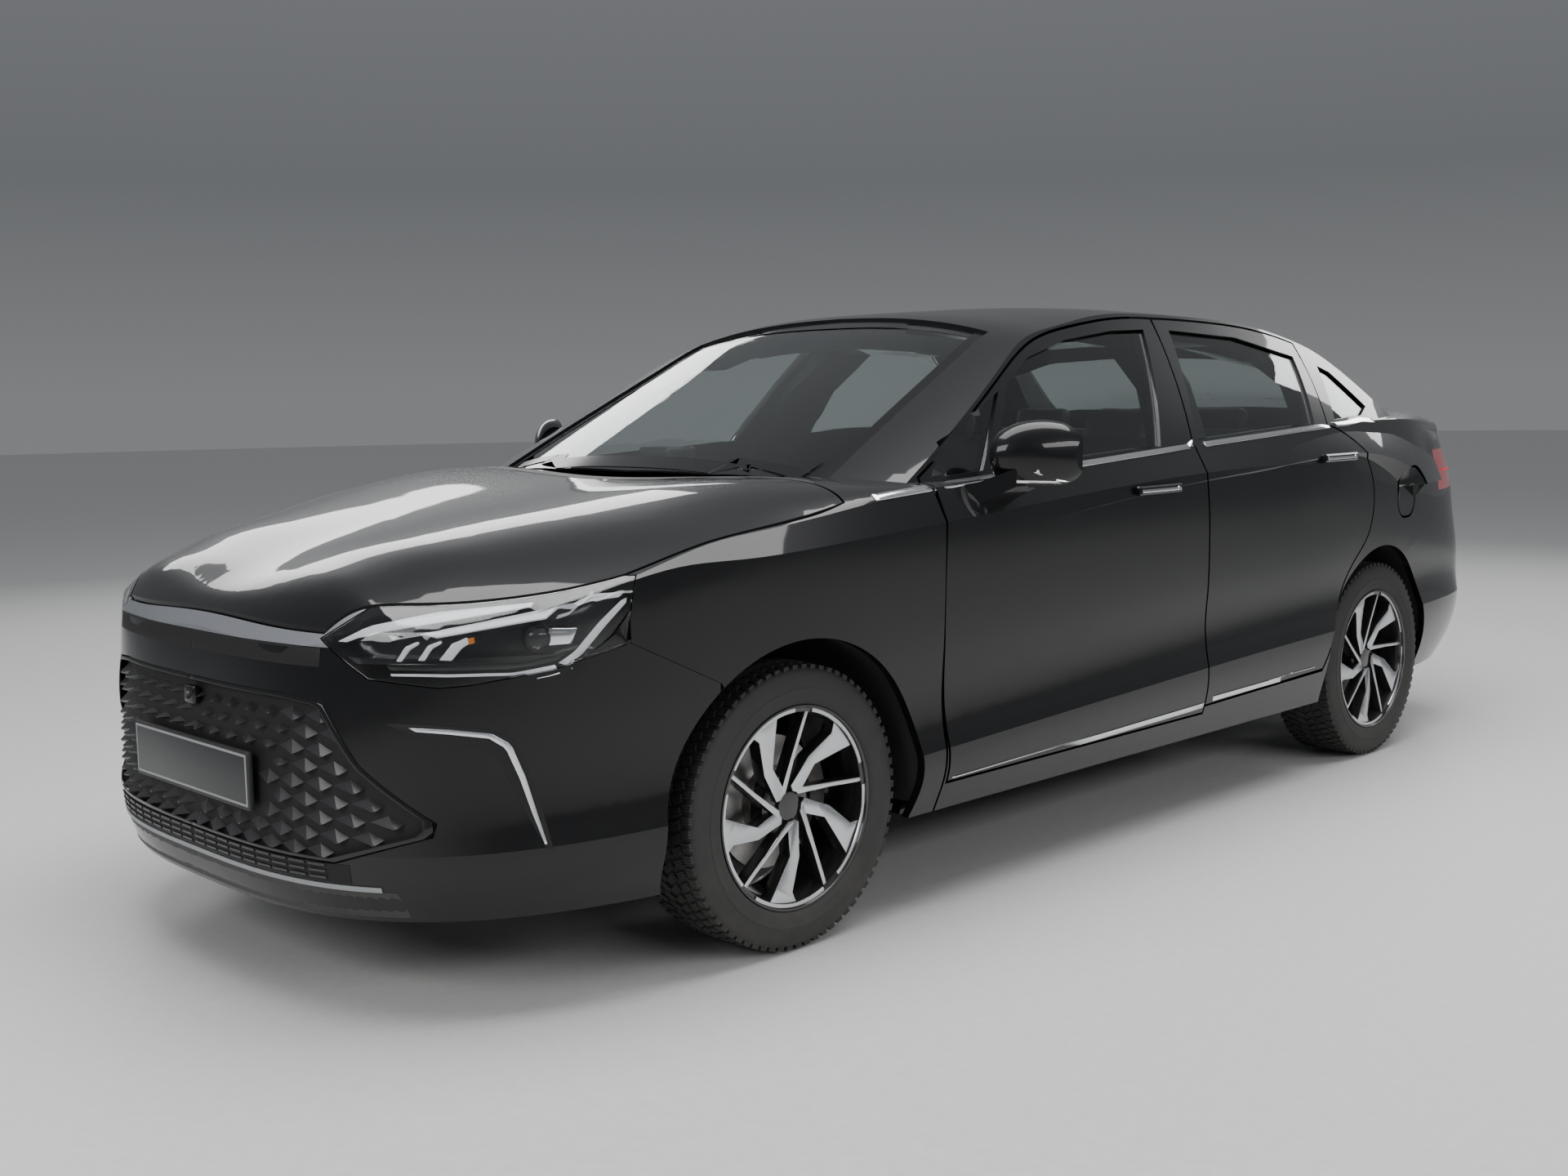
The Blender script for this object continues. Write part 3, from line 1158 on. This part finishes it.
def pad(name, size, place, lean, channels, body="body", voxel=0.012, cap=0.016, depth=0.007):
    """One stuffed pad: size is length, width and height, channels are places across its face."""
    sheet = bmesh.new()
    bmesh.ops.create_cube(sheet, size=1)
    bmesh.ops.scale(sheet, verts=sheet.verts, vec=[length - cap for length in size])
    bmesh.ops.bevel(sheet, geom=list(sheet.edges), offset=min(size) * 0.30, segments=3, profile=0.5,
                    affect="EDGES", material=-1)
    mesh = bpy.data.meshes.new(name)
    sheet.to_mesh(mesh)
    sheet.free()
    piece = bpy.data.objects.new(name, mesh)
    bpy.context.scene.collection.objects.link(piece)
    remesh = piece.modifiers.new("skin", "REMESH")
    remesh.mode = "VOXEL"
    remesh.voxel_size = voxel
    bake(piece)
    before = [vert.co.copy() for vert in piece.data.vertices]
    cloth = piece.modifiers.new("foam", "CLOTH")
    cloth.settings.use_pressure = True
    cloth.settings.uniform_pressure_force = 4
    cloth.settings.effector_weights.gravity = 0
    for step in range(1, 16):
        bpy.context.scene.frame_set(step)
    bake(piece)
    bpy.context.scene.frame_set(1)
    for vert, start in zip(piece.data.vertices, before):
        shift = vert.co - start
        if shift.length > cap / 2:
            vert.co = start + shift.normalized() * (cap / 2)
    half_width = size[1] / 2
    for vert in piece.data.vertices:
        if vert.co.z > 0:
            for place_y in channels:
                gap = (vert.co.y - place_y * half_width) / 0.010
                vert.co.z -= depth * math.exp(-gap * gap)
    turn = Matrix.Rotation(lean, 3, "Y")
    for vert in piece.data.vertices:
        vert.co = turn @ vert.co + Vector(place)
    piece.data.materials.clear()
    piece.data.materials.append(seat_leather.material)
    piece.data.shade_smooth()
    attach(piece, body)
    return piece


def bake(piece):
    """Puts what the modifiers make into the mesh and drops them."""
    done = piece.evaluated_get(bpy.context.evaluated_depsgraph_get())
    fresh = bpy.data.meshes.new_from_object(done)
    piece.modifiers.clear()
    piece.data = fresh


for label, side in OUT.items():
    seat_y = 0.36 * side
    pad("seat_cushion_" + label, (0.50, 0.50, 0.15), (-0.130, seat_y, 0.525), math.radians(-7),
        (-0.52, 0.52))
    pad("seat_back_" + label, (0.60, 0.48, 0.13), (-0.470, seat_y, 0.790), math.radians(-112),
        (-0.5, 0.5))
    pad("head_rest_" + label, (0.17, 0.26, 0.09), (-0.598, seat_y, 1.060), math.radians(-104), (),
        depth=0)
    base = soft_box((0.44, 0.40, 0.14), (-0.130, seat_y, 0.385), 0.02)
    seat_base = publish("seat_base_" + label, base, dull_plastic, "body")
    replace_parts(seat_base, "front_seats")
bench = pad("bench_cushion", (0.50, 1.16, 0.16), (-0.790, 0, 0.545), math.radians(-6), (-0.36, 0.36))
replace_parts(bench, "rear_bench")
pad("bench_back", (0.56, 1.14, 0.13), (-1.040, 0, 0.820), math.radians(-113), (-0.36, 0.36))
for k, y in enumerate((-0.36, 0, 0.36)):
    pad("bench_head_rest_%d" % k, (0.13, 0.24, 0.07), (-1.165, y, 1.085), math.radians(-108), (),
        depth=0)

# %% [markdown]
# A floating caliper grips the disc over a short arc and stays still while the wheel turns, so it
# rides on the knuckle in front and on the body behind. Its section is a U that straddles the
# disc, and spinning that section through fifty degrees gives the whole casting.

# %% Brake calipers
CALIPER = ((-0.036, 0.115), (-0.036, 0.163), (0.017, 0.163), (0.017, 0.115), (0.006, 0.115),
           (0.006, 0.153),
           (-0.024, 0.153), (-0.024, 0.115))


def caliper(way):
    """A U section spun round the axle, behind it or ahead of it."""
    sheet = bmesh.new()
    section = sheet.faces.new([sheet.verts.new((0, w, r)) for w, r in CALIPER])
    spin_round(sheet, sheet.verts, -25, AXIS)
    bmesh.ops.spin(sheet, geom=[section], cent=(0, 0, 0), axis=AXIS, steps=8, angle=math.radians(50))
    bmesh.ops.recalc_face_normals(sheet, faces=sheet.faces)
    sharp = [edge for edge in sheet.edges if edge.calc_face_angle(0) > 1]
    bmesh.ops.bevel(sheet, geom=sharp, offset=0.002, segments=2, profile=0.5, affect="EDGES",
                    material=-1,
                    clamp_overlap=True)
    spin_round(sheet, sheet.verts, 80 * way, AXIS)
    return sheet


for corner in CORNERS:
    low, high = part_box("tyre_" + corner)
    end, label = corner.split("_")
    carrier = "knuckle_" + label if end == "front" else "body"
    way = -1 if end == "front" else 1
    publish("caliper_" + corner, placed(caliper(way * OUT[label]), (low + high) / 2, OUT[label]),
            cast_iron, carrier)

# %% [markdown]
# Under the hood a ribbed cover hides the top of the engine. It is one soft box, and its ribs are
# a thin box repeated across it.

# %% Engine cover
engine_low, engine_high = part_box("engine_block")
middle = (engine_low + engine_high) / 2
top_z = min(engine_high.z, 0.800)
cover = soft_box((0.42, 0.50, 0.030), (middle.x, middle.y, top_z + 0.016), 0.012)
for k in range(7):
    rib = bmesh.ops.create_cube(cover, size=1)["verts"]
    bmesh.ops.scale(cover, verts=rib, vec=(0.34, 0.010, 0.006))
    bmesh.ops.translate(cover, verts=rib, vec=(middle.x, middle.y - 0.15 + 0.05 * k, top_z + 0.033))
publish("engine_cover", cover, dull_plastic, "body")

# %% [markdown]
# The cabin shows through the glass, so the dashboard gets its large screen, the instrument hood
# behind the wheel and the air vents. Each is placed where a ray from the seats meets the dash.

# %% Dashboard details
dash_skin = surface_of("dashboard")
screen_place = dash_skin.ray_cast(Vector((0.15, 0, 0.87)), Vector((1, 0, 0)),
                                  1.5)[0] or Vector((0.5, 0, 0.87))
display = Finish("display_glass", (0.006, 0.006, 0.007), 0.06)
display.grained(80.0, 0.3, shades=(0.05, 0.10))
box_piece("centre_screen", (0.014, 0.290, 0.170), screen_place + Vector((-0.020, 0, 0.045)), 0.005,
          display)
box_piece("centre_screen_foot", (0.03, 0.10, 0.06), screen_place + Vector((-0.006, 0, 0.010)), 0.006,
          dull_plastic)
hood_place = dash_skin.ray_cast(Vector((0.15, 0.30, 0.90)), Vector((1, 0, 0)),
                                1.5)[0] or Vector((0.5, 0.38, 0.90))
box_piece("instrument_hood", (0.11, 0.33, 0.075), Vector((hood_place.x + 0.03, 0.38, 0.945)), 0.016,
          trim_grey)
box_piece("instrument_glass", (0.004, 0.270, 0.050), Vector((hood_place.x - 0.0265, 0.38, 0.945)),
          0.0015, display)
for y in (-0.52, -0.20, 0.20, 0.56):
    place = dash_skin.ray_cast(Vector((0.15, y, 0.80)), Vector((1, 0, 0)), 1.5)[0]
    if place is None:
        continue
    vent = soft_box((0.012, 0.110, 0.055), place + Vector((-0.003, 0, 0)), 0.005)
    for k in range(4):
        slat = bmesh.ops.create_cube(vent, size=1)["verts"]
        bmesh.ops.scale(vent, verts=slat, vec=(0.010, 0.098, 0.003))
        bmesh.ops.translate(vent, verts=slat, vec=place + Vector((-0.010, 0, -0.018 + 0.012 * k)))
    publish("air_vent_%s" % ("left" if y > 0 else "right") + ("_outer" if abs(y) > 0.4 else "_inner"),
            vent, gloss_plastic,
            "body")

# %% [markdown]
# The fuel flap has to lie flush in the quarter panel, which has a shoulder just there. Rays find
# the panel's height just behind and just ahead of the flap, and the flap bends between the two.
# Shrunk copies of a rounded outline, bridged one to the next, give it rings of faces that can bend.

# %% Fuel flap
flap_low, flap_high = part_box("fuel_flap")
flap_x, flap_z = (flap_low.x + flap_high.x) / 2, 0.858
HALF_X, HALF_Z, ROUND = 0.0745, 0.0795, 0.058
EDGE = HALF_X + 0.014
FLAP_RINGS, FLAP_SUNK, FLAP_BACK = 9, 0.0004, 0.0024
quarter_skin = surface_of("body_shell")


def side_at(x, z):
    """The height of the car's left side at one place."""
    return quarter_skin.ray_cast(Vector((x, 1.5, z)), Vector((0, -1, 0)), 1)[0].y


def flush(u, v):
    """The panel's side between its profiles just behind and just ahead of the flap."""
    behind, ahead = side_at(flap_x - EDGE, flap_z + v), side_at(flap_x + EDGE, flap_z + v)
    return behind + (ahead - behind) * (u + EDGE) / (2 * EDGE)


def flap_ring(sheet, share, depth):
    """One shrunk copy of the rounded outline, laid at a depth under the panel's side."""
    ring = bmesh.ops.create_circle(sheet, segments=96, radius=1)["verts"]
    for vert in ring:
        angle = math.atan2(vert.co.y, vert.co.x) + math.pi / 96
        u = share * (math.copysign(HALF_X - ROUND, math.cos(angle)) + ROUND * math.cos(angle))
        v = share * (math.copysign(HALF_Z - ROUND, math.sin(angle)) + ROUND * math.sin(angle))
        vert.co = Vector((flap_x + u, flush(u, v) - depth, flap_z + v))
    return [edge for edge in sheet.edges if all(vert in ring for vert in edge.verts)]


flap = bmesh.new()
shares = [ring / FLAP_RINGS for ring in range(1, FLAP_RINGS + 1)]
rings = [flap_ring(flap, share, FLAP_SUNK) for share in shares]
rings += [flap_ring(flap, share, FLAP_BACK) for share in reversed(shares)]
for ring, follow in zip(rings, rings[1:]):
    bmesh.ops.bridge_loops(flap, edges=ring + follow)
for ring in (rings[0], rings[-1]):
    middle = bmesh.ops.contextual_create(flap, geom=ring)["faces"]
    bmesh.ops.poke(flap, faces=middle)
bmesh.ops.recalc_face_normals(flap, faces=flap.faces)
print("fuel flap middle lies at y =", round(flush(0, 0), 4), "and its longest edge is",
      round(max(edge.calc_length() for edge in flap.edges), 4))
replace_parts(publish("fuel_flap_panel", flap, paint, "fuel_flap"), "fuel_flap")
